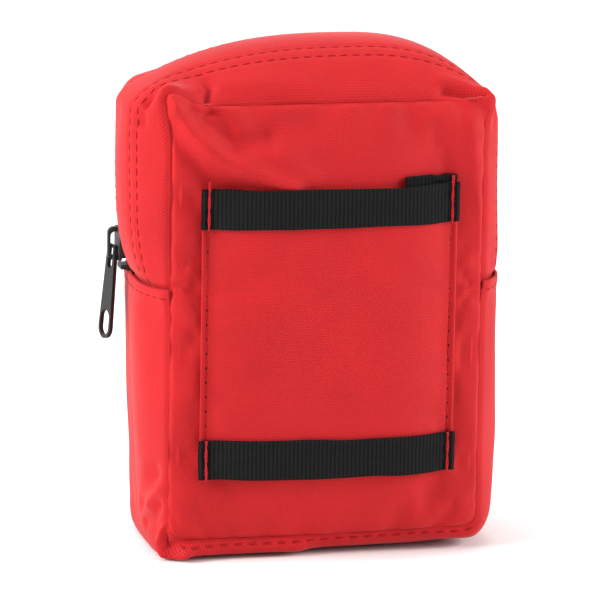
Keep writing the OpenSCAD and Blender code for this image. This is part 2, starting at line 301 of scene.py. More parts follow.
def foil_material(name, colour, shade, metallic):
    nodes = Nodes(name)
    place = nodes.place_mm()
    crease_lines = nodes.add(
        "ShaderNodeTexVoronoi", {"Vector": place, "Scale": 0.16}, feature="DISTANCE_TO_EDGE",
    ).outputs["Distance"]
    crumple = nodes.noise(place, 0.3, 4.0, 0.6)
    normal = nodes.bump(nodes.remap(crease_lines, 0, 0.25), 0.0005, 0.4)
    return nodes.finish(
        Base_Color=nodes.mix(crumple, shade, colour), Roughness=0.32, Metallic=metallic,
        Normal=nodes.bump(crumple, 0.0008, 0.4, normal),
    )


def steel_material():
    nodes = Nodes("brushed_steel")
    place = nodes.place_mm()
    brushed = nodes.noise(
        nodes.add(
            "ShaderNodeVectorMath", {0: place, 1: (6.0, 6.0, 0.3)}, operation="MULTIPLY",
        ).outputs[0], 1.0, 3.0, 0.6)
    return nodes.finish(
        Base_Color=nodes.mix(brushed, (0.42, 0.43, 0.45), (0.62, 0.63, 0.65)),
        Metallic=1.0, Roughness=nodes.remap(brushed, 0.3, 0.7, 0.24, 0.42),
        Normal=nodes.bump(brushed, 0.00003, 0.4),
    )


def plastic_material(name, colour, shade):
    nodes = Nodes(name)
    place = nodes.place_mm()
    pitting = nodes.noise(place, 2.5, 2.0)
    broad = nodes.noise(place, 0.12, 2.0)
    return nodes.finish(
        Base_Color=nodes.mix(broad, shade, colour), Roughness=nodes.remap(pitting, 0.3, 0.7, 0.35, 0.5),
        Normal=nodes.bump(pitting, 0.00005, 0.6),
    )


# ---- grids: surfaces as arrays of points, in millimetres ----


def cubic_weights(t, count, closed):
    """The four neighbours of each fractional index, and their Catmull-Rom weights."""
    t = np.asarray(t, float)
    if not closed:
        t = np.clip(t, 0, count - 1 - 1e-9)
    base = np.floor(t).astype(int)
    f = (t - base)[..., None]
    weights = 0.5 * np.concatenate([
        -f + 2 * f**2 - f**3,
        2 - 5 * f**2 + 3 * f**3,
        f + 4 * f**2 - 3 * f**3,
        -f**2 + f**3,
    ], axis=-1)
    index = base[..., None] + np.arange(-1, 3)
    index = index % count if closed else np.clip(index, 0, count - 1)
    return index, weights


def grid_at(grid, u, v, closed=False):
    """Points of a smooth surface through the grid, at fractional rows u and columns v."""
    rows, row_w = cubic_weights(u, grid.shape[0], closed)
    cols, col_w = cubic_weights(v, grid.shape[1], False)
    picked = grid[rows[..., :, None], cols[..., None, :]]
    return np.einsum("...ab,...abc->...c", row_w[..., :, None] * col_w[..., None, :], picked)


def fine_grid(grid, u, v, closed=False):
    uu, vv = np.meshgrid(u, v, indexing="ij")
    return grid_at(grid, uu, vv, closed)


def unit(vectors):
    return vectors / np.maximum(np.linalg.norm(vectors, axis=-1, keepdims=True), 1e-9)


def grid_normals(points):
    """Unit normals of a grid of points."""
    du = np.gradient(points, axis=0)
    dv = np.gradient(points, axis=1)
    return unit(np.cross(du, dv))


def cloth_lengths(points):
    """For each point of a grid, its distance along the rows and across them."""
    step_u = np.linalg.norm(np.diff(points, axis=0), axis=2).mean(axis=1)
    step_v = np.linalg.norm(np.diff(points, axis=1), axis=2).mean(axis=0)
    along = np.concatenate([[0], np.cumsum(step_u)])
    across = np.concatenate([[0], np.cumsum(step_v)])
    return np.stack(np.meshgrid(along, across, indexing="ij"), axis=-1)


def path_reach(path):
    """Each path point's distance from the path's start."""
    return np.concatenate([[0], np.cumsum(np.linalg.norm(np.diff(path, axis=0), axis=1))])


def at_reach(places, reach, values):
    """A path's values at these distances from its start."""
    return np.stack([np.interp(places, reach, values[:, k]) for k in range(3)], axis=-1)


def segment_distance(points, path):
    """Distance of each point from a path of straight stretches."""
    best = np.full(points.shape[:-1], 1e9)
    for a, b in zip(path[:-1], path[1:]):
        a, b = np.array(a, float), np.array(b, float)
        d = b - a
        t = np.clip(((points - a) @ d) / max(d @ d, 1e-9), 0, 1)
        best = np.minimum(best, np.linalg.norm(points - (a + t[..., None] * d), axis=-1))
    return best


def smooth_noise(shape, cells, seed):
    """Soft random waves from -1 to 1 over a grid, with that many cells each way."""
    rng = np.random.default_rng(seed)
    rough = rng.uniform(-1, 1, (cells[0] + 3, cells[1] + 3, 1))
    u = np.linspace(1, cells[0] + 1, shape[0])
    v = np.linspace(1, cells[1] + 1, shape[1])
    return fine_grid(rough, u, v)[..., 0]


# ---- meshes ----


def mesh_object(name, vertices, faces, material):
    """A new mesh object from points in millimetres."""
    mesh = bpy.data.meshes.new(name)
    mesh.from_pydata((np.asarray(vertices, float) * MM).tolist(), [], faces)
    mesh.validate()
    mesh.polygons.foreach_set("use_smooth", [True] * len(mesh.polygons))
    mesh.materials.append(material)
    return linked(name, mesh)


def quads(rows, cols, start, flip):
    """Faces of a grid of vertices."""
    i, j = np.meshgrid(np.arange(rows - 1), np.arange(cols - 1), indexing="ij")
    a = start + i * cols + j
    faces = np.stack([a, a + 1, a + cols + 1, a + cols], axis=-1).reshape(-1, 4)
    return (faces[:, ::-1] if flip else faces).tolist()


def rim(rows, cols):
    """The grid's border vertices, once round."""
    top = list(range(cols))
    right = [i * cols + cols - 1 for i in range(1, rows)]
    bottom = [(rows - 1) * cols + j for j in range(cols - 2, -1, -1)]
    left = [i * cols for i in range(rows - 2, 0, -1)]
    return top + right + bottom + left


def sheet_object(name, outer, material, lining=None, thick=CLOTH_T, flip=False, inner=None):
    """Cloth with real thickness: the grid is its outer face, and thick goes inwards."""
    rows, cols = outer.shape[:2]
    normals = grid_normals(outer) * (-1 if flip else 1)
    if inner is None:
        inner = outer - normals * thick
    vertices = np.concatenate([outer.reshape(-1, 3), inner.reshape(-1, 3)])
    count = rows * cols
    faces = quads(rows, cols, 0, flip) + quads(rows, cols, count, not flip)
    edge = rim(rows, cols)
    for a, b in zip(edge, edge[1:] + edge[:1]):
        face = [a, a + count, b + count, b]
        faces.append(face[::-1] if flip else face)
    obj = mesh_object(name, vertices, faces, material)
    if lining is not None:
        obj.data.materials.append(lining)
        outer_faces = (rows - 1) * (cols - 1)
        index = [0] * outer_faces + [1] * outer_faces + [0] * len(edge)
        obj.data.polygons.foreach_set("material_index", index)
    lengths = cloth_lengths(outer).reshape(-1, 2) * [-1 if flip else 1, 1]
    attribute = obj.data.attributes.new("cloth_mm", "FLOAT_VECTOR", "POINT")
    values = np.zeros((2 * count, 3))
    values[:, :2] = np.tile(lengths, (2, 1))
    attribute.data.foreach_set("vector", values.ravel())
    return obj


def hoop(a, b, sides):
    """Faces between two rings of vertices that start at a and b."""
    return [(a + k, b + k, b + (k + 1) % sides, a + (k + 1) % sides) for k in range(sides)]


def tubes(centres, ups, radii, sides=8):
    """Vertices and faces of many capped tubes. centres has a row of points for each tube."""
    count, rings = centres.shape[:2]
    tangents = unit(np.gradient(centres, axis=1))
    across = unit(np.cross(tangents, ups))
    ups = np.cross(across, tangents)
    angles = np.linspace(0, 2 * np.pi, sides, endpoint=False)
    radii = np.broadcast_to(radii, (count, rings))[..., None, None]
    around = (
        across[:, :, None] * np.cos(angles)[:, None]
        + ups[:, :, None] * np.sin(angles)[:, None]
    )
    vertices = (centres[:, :, None] + around * radii).reshape(-1, 3)
    faces = []
    for n in range(count):
        start = n * rings * sides
        for i in range(rings - 1):
            faces += hoop(start + i * sides, start + (i + 1) * sides, sides)
        faces.append(tuple(start + k for k in range(sides)))
        faces.append(tuple(start + (rings - 1) * sides + k for k in range(sides))[::-1])
    return vertices, faces


def thread(name, path, normals, material, pitch, gap, radius, rise=0.12):
    """Topstitching along a path: a row of short thread lengths that dip at each needle hole."""
    reach = path_reach(path)
    starts = np.arange(gap / 2, reach[-1] - pitch + gap / 2, pitch)
    t = np.linspace(0, 1, 7)
    places = starts[:, None] + t * (pitch - gap)
    centres = at_reach(places, reach, path)
    ups = unit(at_reach(places, reach, normals))
    arch = np.sin(np.pi * t)
    centres = centres + ups * ((arch ** 0.6 - 1) * radius * 1.6 + rise)[:, None]
    radii = radius * (0.45 + 0.55 * arch ** 0.5)
    vertices, faces = tubes(centres, ups, radii, 6)
    return mesh_object(name, vertices, faces, material)


def band_object(name, path, normals, section, material):
    """A band swept round a closed path. section lists (sideways, outwards) points, in order."""
    tangents = unit(np.roll(path, -1, axis=0) - np.roll(path, 1, axis=0))
    sideways = unit(np.cross(tangents, normals))
    section = np.array(section, float)
    vertices = (
        path[:, None] + sideways[:, None] * section[:, :1] + normals[:, None] * section[:, 1:]
    ).reshape(-1, 3)
    rows, cols = len(path), len(section)
    faces = []
    for i in range(rows):
        faces += hoop(i * cols, (i + 1) % rows * cols, cols)
    return mesh_object(name, vertices, faces, material)


def rounded(half_a, half_b, r):
    """A rounded rectangle's outline as (a, b) points, for sweeping."""
    angle = np.radians([0, 45, 90])
    corner = np.stack([np.cos(angle), np.sin(angle)], axis=1) * r
    points = []
    for turn, (ca, cb) in enumerate([(1, 1), (-1, 1), (-1, -1), (1, -1)]):
        spin = np.array([[0, -1], [1, 0]])
        turned = corner @ np.linalg.matrix_power(spin, turn).T
        points += (turned + [ca * (half_a - r), cb * (half_b - r)]).tolist()
    return points


# ---- the pouch's form ----

CORNER_BASE, STRAIGHT_BASE = 4, 24      # cells round half a lower corner, and along the base
SIDE_LOW, SIDE_HIGH = 18, 13            # cells up a side below and above the fold
CORNER_TOP, STRAIGHT_TOP = 5, 22
ACROSS = 2 * CORNER_BASE + STRAIGHT_BASE
UP = CORNER_BASE + SIDE_LOW + SIDE_HIGH + CORNER_TOP
RING = 2 * (ACROSS + UP)
FOLD_LEFT = ACROSS + CORNER_BASE + SIDE_LOW             # on the slider's side
CORNER_LEFT = ACROSS + UP
FOLD_RIGHT = CORNER_LEFT + ACROSS + CORNER_TOP + SIDE_HIGH
REAR_COLS, GAP_COLS, FRONT_COLS = 9, 3, 5
COLS = REAR_COLS + GAP_COLS + FRONT_COLS
FINE = 4                                # fine cells to one coarse cell


def arc(x, z, r, start, end, cells):
    angle = np.radians(start + (end - start) * np.arange(cells) / cells)
    return np.stack([x + r * np.cos(angle), z + r * np.sin(angle)], axis=1)


def straight(a, b, cells):
    """A straight stretch whose cells grow smaller towards the corners at its ends."""
    share = np.arange(cells) / cells
    share = share - 0.65 * np.sin(2 * np.pi * share) / (2 * np.pi)
    return np.array(a) + (np.array(b) - np.array(a)) * share[:, None]


def ring(w, z0, z1, r_left, r_right, top_left, top_right):
    """A rounded outline in X and Z, counterclockwise from the lower -X corner's middle."""
    return np.concatenate([
        arc(-w + r_right, z0 + r_right, r_right, 225, 270, CORNER_BASE),
        straight((-w + r_right, z0), (w - r_left, z0), STRAIGHT_BASE),
        arc(w - r_left, z0 + r_left, r_left, 270, 360, 2 * CORNER_BASE),
        straight((w, z0 + r_left), (w, FOLD_Z), SIDE_LOW),
        straight((w, FOLD_Z), (w, z1 - top_left), SIDE_HIGH),
        arc(w - top_left, z1 - top_left, top_left, 0, 90, 2 * CORNER_TOP),
        straight((w - top_left, z1), (-w + top_right, z1), STRAIGHT_TOP),
        arc(-w + top_right, z1 - top_right, top_right, 90, 180, 2 * CORNER_TOP),
        straight((-w, z1 - top_right), (-w, FOLD_Z), SIDE_HIGH),
        straight((-w, FOLD_Z), (-w, z0 + r_right), SIDE_LOW),
        arc(-w + r_right, z0 + r_right, r_right, 180, 225, CORNER_BASE),
    ])


def column_depths():
    """Depths of the gusset's grid columns, closer together beside the two seams."""
    rear_edge, front_edge = ZIP_Y + ZIP_GAP, ZIP_Y - ZIP_GAP
    rear = SEAM_BACK + (rear_edge - SEAM_BACK) * np.linspace(0, 1, REAR_COLS + 1) ** 1.4
    gap = np.linspace(rear_edge, front_edge, GAP_COLS + 1)[1:]
    front = SEAM_FRONT + (front_edge - SEAM_FRONT) * np.linspace(1, 0, FRONT_COLS + 1) ** 1.4
    return np.concatenate([rear, gap, front[1:]])


def side_fill(x, z):
    """How full the sides are, by height: pulled in at the fold, and slimmer at the base."""
    heights = [6, 19, 35, 65, 77, 85, 94, 103, 125]
    slider_side = np.interp(z, heights, [0.22, 0.32, 0.43, 0.60, 0.64, 0.56, 0.86, 1.04, 1.1])
    other_side = np.interp(z, heights, [0.70, 0.76, 0.80, 0.76, 0.74, 0.70, 0.74, 0.70, 0.66])
    return np.where(x > 0, slider_side, other_side)


def gusset_grid():
    """The band from the back seam to the front seam, all the way round."""
    columns = []
    for y in column_depths():
        v = (SEAM_BACK - y) / (SEAM_BACK - SEAM_FRONT)
        fullest = 0.42
        t = (v - fullest) / (fullest if v < fullest else 1 - fullest)
        full = (1 - abs(t) ** 2.7) ** 0.75
        flat = (1 - abs(2 * v - 1) ** 6) ** 0.6
        top = SEAM_TOP + (FULL_TOP - SEAM_TOP) * full
        outline = ring(
            SEAM_HALF + (FULL_W - SEAM_HALF) * full, SEAM_BASE * (1 - flat), top,
            4 + 4 * full, 5 + 7 * full, 4.4 + 0.6 * full, 5 - 1.0 * full,
        )
        x, z = outline[:, 0], outline[:, 1]
        drop = (np.abs(x - CREST_X) / np.where(x > CREST_X, DROP_LEFT, DROP_RIGHT)) ** 2.6
        lift = np.clip((z - SHOULDER_Z) / (top - SHOULDER_Z), 0, 1)
        beyond = np.maximum(np.abs(x) - SEAM_HALF, 0)
        slim = 0.18 * np.clip((ZIP_Y + 4 - y) / 9, 0, 1) * (z > FOLD_Z)
        x = np.sign(x) * (np.minimum(np.abs(x), SEAM_HALF) + beyond * side_fill(x, z) * (1 - slim))
        z = z - drop * lift * full - slim * np.maximum(z - SEAM_TOP, 0)
        z = z + BASE_RISE * np.clip(-x / 50, 0, 1) * np.clip(1 - z / 20, 0, 1)
        columns.append(np.stack([x, np.full_like(x, y), z], axis=1))
    grid = np.stack(columns, axis=1)
    return raise_ears(sink_zip(grid))


def sink_zip(grid):
    """The zip lies in a shallow channel, straight where the slider runs."""
    grid = grid.copy()
    top = slice(FOLD_LEFT + 1, FOLD_RIGHT)
    inward = ring_inward(grid[:, REAR_COLS + 1])
    for column in range(REAR_COLS + 1, REAR_COLS + GAP_COLS):
        sunk = grid[:, column] + 1.7 * inward
        grid[top, column] = sunk[top]
        run = slice(FOLD_LEFT + 1, FOLD_LEFT + SIDE_HIGH)
        grid[run, column, 0] = np.minimum(grid[run, column, 0], TEETH_X + 0.6)
    return grid


def ring_inward(line):
    """Unit directions in X and Z that point into a closed outline."""
    tangent = unit(np.roll(line, -1, axis=0) - np.roll(line, 1, axis=0))
    return np.stack([-tangent[:, 2], np.zeros(len(line)), tangent[:, 0]], axis=1)


def raise_ears(grid):
    """The two upper corners of the back are pinched into points, more on the slider's side."""
    ears = (
        (CORNER_LEFT, 6.2, (2.7, 1.0, 5.4)),
        (CORNER_LEFT + ACROSS, 4.4, (-2.7, 1.0, 1.2)),
    )
    raised = grid
    for corner, width, move in ears:
        near = np.exp(-((np.linalg.norm(grid - grid[corner, 0], axis=-1) / width) ** 2))
        raised = raised + near[..., None] * np.array(move)
    return raised


def coons(base, right, top, left):
    """A surface spanned between four edges: base and top run along X, the sides upwards."""
    u = np.linspace(0, 1, len(base))[:, None, None]
    v = np.linspace(0, 1, len(right))[None, :, None]
    ruled = (1 - v) * base[:, None] + v * top[:, None] + (1 - u) * left[None] + u * right[None]
    corners = (
        (1 - u) * (1 - v) * base[0] + u * (1 - v) * base[-1]
        + (1 - u) * v * top[0] + u * v * top[-1]
    )
    return ruled - corners


def panel_grid(seam, outward, crown):
    """A panel inside a seam ring, crowned outwards. Rows run along X, columns up."""
    base = seam[: ACROSS + 1]
    right = seam[ACROSS: CORNER_LEFT + 1]
    top = seam[CORNER_LEFT: CORNER_LEFT + ACROSS + 1][::-1]
    left = np.concatenate([seam[CORNER_LEFT + ACROSS:], seam[:1]])[::-1]
    grid = coons(base, right, top, left)
    x = grid[..., 0] / SEAM_HALF
    z = (grid[..., 2] - (SEAM_TOP + SEAM_BASE) / 2) / ((SEAM_TOP - SEAM_BASE) / 2)
    rise = np.clip(1 - np.abs(x) ** 2.6, 0, 1) ** 0.7 * np.clip(1 - np.abs(z) ** 3.4, 0, 1) ** 0.7
    grid[..., 1] += outward * crown * rise
    return grid


def panel_border():
    """Which ring point each border point of a panel grid is."""
    border = {}
    for i in range(ACROSS + 1):
        border[i, 0] = i
        border[i, UP] = CORNER_LEFT + ACROSS - i
    for j in range(UP + 1):
        border[ACROSS, j] = ACROSS + j
        border[0, j] = (RING - j) % RING
    return border


LARGEST_MOVE = 3.5                      # the simulation may move a point this far


def simulated(points, faces, held):
    """Where the points are after cloth is blown up for a while, with the held ones pinned."""
    scale, frames = 5 * MM, 22
    mesh = bpy.data.meshes.new("form")
    mesh.from_pydata((points * scale).tolist(), [], faces)
    form = linked("form", mesh)
    pins = form.vertex_groups.new(name="sewn")
    pins.add([int(k) for k in held], 1, "REPLACE")
    cloth = form.modifiers.new("cloth", "CLOTH").settings
    cloth.quality = 5
    cloth.tension_stiffness = 12
    cloth.compression_stiffness = 6
    cloth.shear_stiffness = 4
    cloth.bending_stiffness = 1.5
    cloth.shrink_min = -0.012
    cloth.use_pressure = True
    cloth.uniform_pressure_force = 2.5
    cloth.effector_weights.gravity = 0
    cloth.vertex_group_mass = "sewn"
    scene = bpy.context.scene
    for frame_number in range(1, frames + 1):
        scene.frame_set(frame_number)
    result = form.evaluated_get(bpy.context.evaluated_depsgraph_get())
    after = np.array([v.co for v in result.data.vertices]) / scale
    scene.frame_set(1)
    bpy.data.objects.remove(form)
    return after


def sewn_form(gusset, back, front):
    """The grids as one mesh: points, faces, the held points and where each panel's points are."""
    rows, cols = gusset.shape[:2]
    points = list(gusset.reshape(-1, 3))
    faces = [
        (i * cols + j, (i + 1) % rows * cols + j, (i + 1) % rows * cols + j + 1, i * cols + j + 1)
        for i in range(rows) for j in range(cols - 1)
    ]
    zip_columns = range(REAR_COLS, REAR_COLS + GAP_COLS + 1)
    held = {i * cols + j for i in range(rows) for j in (0, cols - 1, *zip_columns)}
    held |= {i * cols + j for i in (FOLD_LEFT, FOLD_RIGHT) for j in range(cols)}
    held |= {k for k in range(rows * cols) if points[k][2] < RESTING_Z}
    maps = []
    border = panel_border()
    for panel, column, turn in ((back, 0, 1), (front, cols - 1, -1)):
        index = np.zeros(panel.shape[:2], int)
        for i, j in np.ndindex(index.shape):
            if (i, j) in border:
                index[i, j] = border[i, j] * cols + column
                continue
            index[i, j] = len(points)
            points.append(panel[i, j])
            x, _, z = panel[i, j]
            sewn = LOOP_SEAM[0] < abs(x) < LOOP_SEAM[1] and LOOP_LOW[2] < z < LOOP_HIGH[2]
            if column == 0 and sewn:
                held.add(index[i, j])
        corners = [index[:-1, :-1], index[1:, :-1], index[1:, 1:], index[:-1, 1:]][::-turn]
        faces += np.stack(corners, axis=-1).reshape(-1, 4).tolist()
        maps.append(index)
    return np.array(points), faces, held, maps


def inflated(gusset, back, front):
    """The grids after a cloth simulation that blows them out between their sewn lines."""
    points, faces, held, maps = sewn_form(gusset, back, front)
    move = simulated(points, faces, held) - points
    size = np.linalg.norm(move, axis=1, keepdims=True)
    move *= np.minimum(1, LARGEST_MOVE / np.maximum(size, 1e-6))
    in_gusset = gusset.shape[0] * gusset.shape[1]
    band = move[:in_gusset].reshape(gusset.shape)
    for _ in range(3):
        band = (np.roll(band, 1, axis=0) + 2 * band + np.roll(band, -1, axis=0)) / 4
    move[:in_gusset] = band.reshape(-1, 3)
    after = points + move
    after[:, 2] = np.maximum(after[:, 2], 0)
    return after[:in_gusset].reshape(gusset.shape), after[maps[0]], after[maps[1]]


# ---- fine surfaces ----


def refined(grid, u0, u1, v0, v1, closed=False):
    """The grid's surface between two rows and two columns, FINE times as dense."""
    u = np.linspace(u0, u1, round((u1 - u0) * FINE) + 1)
    v = np.linspace(v0, v1, round((v1 - v0) * FINE) + 1)
    return fine_grid(grid, u, v, closed)


def fold(points, plane, directions, path, width, height, fade):
    """Raises or sinks a sheet along a path drawn in its own flat coordinates."""
    near = np.exp(-((segment_distance(plane, path) / width) ** 2)) * fade
    return points + directions * (height * near)[..., None]


def folded(points, plane, directions, folds, fade):
    """The sheet after all these folds, each a path, a width and a height."""
    for path, width, height in folds:
        points = fold(points, plane, directions, path, width, height, fade)
    return points


def edge_fade(distance, width):
    """0 on an edge and 1 well inside it, so that folds leave sewn edges where they are."""
    return 1 - np.exp(-((distance / width) ** 2))


class Seam:
    """A sewn line round the pouch, which draws the cloth beside it inwards."""

    def __init__(self, gusset, column, outward_y):
        self.line = refined(gusset, 0, RING, column, column + 1e-6, True)[:-1, 0]
        inward = ring_inward(self.line)
        inward[:, 1] = -outward_y
        self.inward = unit(inward)
        self.tree = KDTree(len(self.line))
        for k, point in enumerate(self.line):
            self.tree.insert(point, k)
        self.tree.balance()

    def draw_in(self, points):
        depth, width = 0.8, 1.1
        flat = points.reshape(-1, 3).copy()
        for k, point in enumerate(points.reshape(-1, 3)):
            _, nearest, distance = self.tree.find(point)
            if distance < 3 * width:
                pull = depth * math.exp(-((distance / width) ** 2))
                flat[k] += self.inward[nearest] * pull
        return flat.reshape(points.shape)


# ---- floor and light ----


def area_light(name, place, aim, size, power):
    data = bpy.data.lights.new(name, "AREA")
    data.shape = "RECTANGLE"
    data.size, data.size_y = size
    data.energy = power
    light = linked(name, data)
    light.location = place
    light.rotation_mode = "QUATERNION"
    light.rotation_quaternion = (Vector(aim) - Vector(place)).to_track_quat("-Z", "Y")


def make_stage():
    """A white floor that fades into a white surround, and soft light from four sides."""
    nodes = Nodes("floor_white")
    mottle = nodes.noise(nodes.place_mm(), 0.02, 2.0)
    nodes.finish(
        Base_Color=nodes.mix(mottle, (0.86, 0.86, 0.86), (0.9, 0.9, 0.9)), Roughness=0.8)
    reach = 4000
    floor = mesh_object(
        "floor", [(-reach, -reach, 0), (reach, -reach, 0), (reach, reach, 0), (-reach, reach, 0)],
        [(0, 1, 2, 3)], nodes.material)
    floor.location.z = -0.0004
    world = bpy.data.worlds.new("surround")
    bpy.context.scene.world = world
    world.use_nodes = True
    world.node_tree.nodes["Background"].inputs[0].default_value = (1, 1, 1, 1)
    world.node_tree.nodes["Background"].inputs[1].default_value = 0.5
    middle = (0, 0, 0.07)
    area_light("left", (1.05, 0.2, 0.6), middle, (0.6, 0.6), 18)
    area_light("right", (-1.1, 0.4, 0.5), middle, (0.6, 0.6), 15)
    area_light("top", (0.1, -0.2, 1.3), middle, (0.9, 0.9), 9)
    area_light("behind", (0.0, -1.3, 0.6), (0, 0, 0.1), (1.4, 0.8), 4)


# ---- build ----

bpy.context.scene.view_settings.view_transform = "Standard"
make_camera()
make_stage()

RED = red_cloth_material()
LINING = red_cloth_material("red_lining", 0.8)

gusset = gusset_grid()
back = panel_grid(gusset[:, 0], 1, 3.6)
front = panel_grid(gusset[:, -1], -1, 3.6)
gusset, back, front = inflated(gusset, back, front)
back_seam = Seam(gusset, 0, 1)
front_seam = Seam(gusset, COLS, -1)


def settle(piece, nodes=(), body="pouch"):
    """Hides the CAD nodes a piece stands for and attaches it to its body; a lid piece only has its
    transform baked in.
    """
    if nodes:
        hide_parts(*nodes)
    if body == "lid":
        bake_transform(piece)
    else:
        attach(piece, body)


def back_cloth():
    points = refined(back, 0, ACROSS, 0, UP)
    points = back_folds(points)
    points = back_seam.draw_in(points)
    piece = sheet_object("back_cloth", points, RED, LINING, flip=True)
    settle(piece, ["back_panel"])


def back_folds(points):
    """Folds of the back: a tension fold from the pinched corner, and soft dents."""
    out = np.array([0.0, 1.0, 0.0])
    lengths = cloth_lengths(points)
    inside = np.minimum(lengths, lengths[-1, -1] - lengths).min(axis=-1)
    fade = edge_fade(inside, 2.0)
    waves = 0.35 * smooth_noise(points.shape[:2], (5, 7), 4) * fade
    points = points + out * waves[..., None]
    plane = points[..., [0, 2]]
    folds = [
        ([(40, 134), (24, 124)], 9.0, 1.2),
        ([(36, 138), (29.5, 130), (20, 131.5)], 3.4, -3.4),
        ([(20, 135.5), (8, 136)], 4.5, -1.2),
        ([(50.5, 145), (43.5, 134), (36, 127), (28, 122.5), (12, 116.5)], 2.6, 2.5),
        ([(27, 127.5), (20, 130.5), (6, 119)], 3.2, 0.9),
        ([(46, 130), (38, 120), (29, 114.5)], 3.2, -1.4),
        ([(-30, 128), (-46, 100)], 7.0, -0.8),
        ([(-44, 136), (-47, 112)], 2.2, 0.7),
        ([(45.9, 92.6), (45.3, 91), (44.1, 93.5)], 0.8, -0.4),
        ([(45.2, 88), (44.6, 70)], 2.4, 0.5),
    ]
    return rest_on(folded(points, plane, out, folds, fade), "guide_leaflet")


def rest_on(points, node):
    """Keeps the back's cloth just clear of a flat thing packed behind it."""
    low, high = box_mm(node)
    x, z = points[..., 0], points[..., 2]
    outside = np.maximum(np.maximum(low[0] - x, x - high[0]), np.maximum(low[2] - z, z - high[2]))
    limit = high[1] + CLOTH_T + 0.1 - 1.2 * np.maximum(outside, 0)
    points = points.copy()
    points[..., 1] = np.maximum(points[..., 1], limit)
    return points


def front_cloth():
    points = refined(front, 0, ACROSS, 0, UP)
    normals = grid_normals(points)
    points = points + normals * (0.4 * smooth_noise(points.shape[:2], (5, 6), 9))[..., None]
    points = front_seam.draw_in(points)
    piece = sheet_object("front_cloth", points, RED, LINING)
    settle(piece, ["front_panel_lower", "front_panel_upper"], "lid")


def lower_cloth():
    """The base and the lower sides, one strip, with a raised hem over the upper gusset's end."""
    end = FOLD_LEFT + RING
    points = refined(gusset, FOLD_RIGHT, end, 0, COLS, True)
    normals = grid_normals(points)
    from_hem = cloth_lengths(points)[..., 0]
    from_hem = np.minimum(from_hem, from_hem.max() - from_hem)
    raised = 0.75 * np.exp(-((from_hem / 4) ** 4)) - 0.35 * np.exp(-(((from_hem - 3) / 0.5) ** 2))
    points = points + normals * raised[..., None]
    points = corner_folds(points, normals)
    points = back_seam.draw_in(front_seam.draw_in(points))
    hem_stitches(points)
    base_stitches(points)
    piece = sheet_object("lower_side_cloth", points, RED, LINING)
    settle(piece, ["lower_gusset", "gusset_join_left", "gusset_join_right"])


def corner_folds(points, normals):
    """The lower corner on the slider's side: a pit, soft creases and the back's pinched lip."""
    lengths = cloth_lengths(points)
    corner = lengths[round((RING + ACROSS - FOLD_RIGHT) * FINE), 0, 0]
    plane = lengths - [corner, 0]
    fade = edge_fade(lengths[..., 1], 0.8)
    folds = [
        ([(-2, 1.6), (2, 1.6)], 1.7, -2.4),
        ([(-6, 2), (-3, 5), (2, 5.6), (6, 3)], 1.7, 1.5),
        ([(24, 8), (17, 16), (11, 23)], 2.8, -1.5),
        ([(14, 6), (10, 10), (6, 18)], 2.2, -1.4),
        ([(19, 5), (13, 13)], 2.0, 0.9),
    ]
    points = folded(points, plane, normals, folds, fade)
    lip = [(42, 25, 1), (30, 26, 0), (8, 25, 0)]
    points = fold(points, points, np.array([0.0, 0.9, -0.4]), lip, 4.5, 3.2, fade)
    points[..., 2] = np.maximum(points[..., 2], 0)
    return points


def sewn_row(name, points, rows, cols, body="pouch", **stitch):
    """Topstitching on a cloth grid, through these fractional rows and columns."""
    path = grid_at(points, rows, cols)
    normals = grid_at(grid_normals(points), rows, cols)
    settle(thread(name, path, unit(normals), THREAD, **stitch), body=body)


def base_stitches(points):
    """The row that shows beside the back's base seam."""
    lengths = cloth_lengths(points)
    corner = round((RING + ACROSS - FOLD_RIGHT) * FINE)
    start = round((RING - FOLD_RIGHT) * FINE)
    rows = np.arange(start, corner - 8)
    column = np.full(len(rows), np.interp(1.5, lengths[0, :, 1], np.arange(points.shape[1])))
    sewn_row("base_stitches", points, rows, column, pitch=4.6, gap=1.4, radius=0.3)


def hem_stitches(points):
    """The row under each side's fold, across the strip."""
    reach = cloth_lengths(points)[:, 0, 0]
    cols = np.linspace(2, points.shape[1] - 3, 200)
    for name, place in (("left", reach[-1] - 3), ("right", 3)):
        rows = np.full(len(cols), np.interp(place, reach, np.arange(len(reach))))
        sewn_row("hem_stitches_" + name, points, rows, cols, pitch=3.6, gap=0.8, radius=0.24, rise=0.1)


STITCH_LINES = (12, 15.5)              # distances from the back seam, along the cloth
TUCKED = 0.75                          # cells of the upper strips that lie under the hem


def upper_strip(v0, v1, zip_edge):
    """One of the two strips beside the zip, from its tucked end round the top."""
    points = refined(gusset, FOLD_LEFT - TUCKED, FOLD_RIGHT + TUCKED, v0, v1, True)
    normals = grid_normals(points)
    lengths = cloth_lengths(points)
    along, across = lengths[..., 0], lengths[..., 1]
    from_end = np.minimum(along, along.max() - along)
    from_zip = across.max() - across if zip_edge == v1 else across
    edge_drop = 0.15 if zip_edge == v1 else 0.9
    sink = 0.9 * np.exp(-((from_end / 2.6) ** 4)) + edge_drop * np.exp(-((from_zip / 1.2) ** 2))
    sink += 0.25 * np.exp(-(((from_zip - 1.8) / 0.45) ** 2))
    points = points - normals * sink[..., None]
    return points, normals, along, across


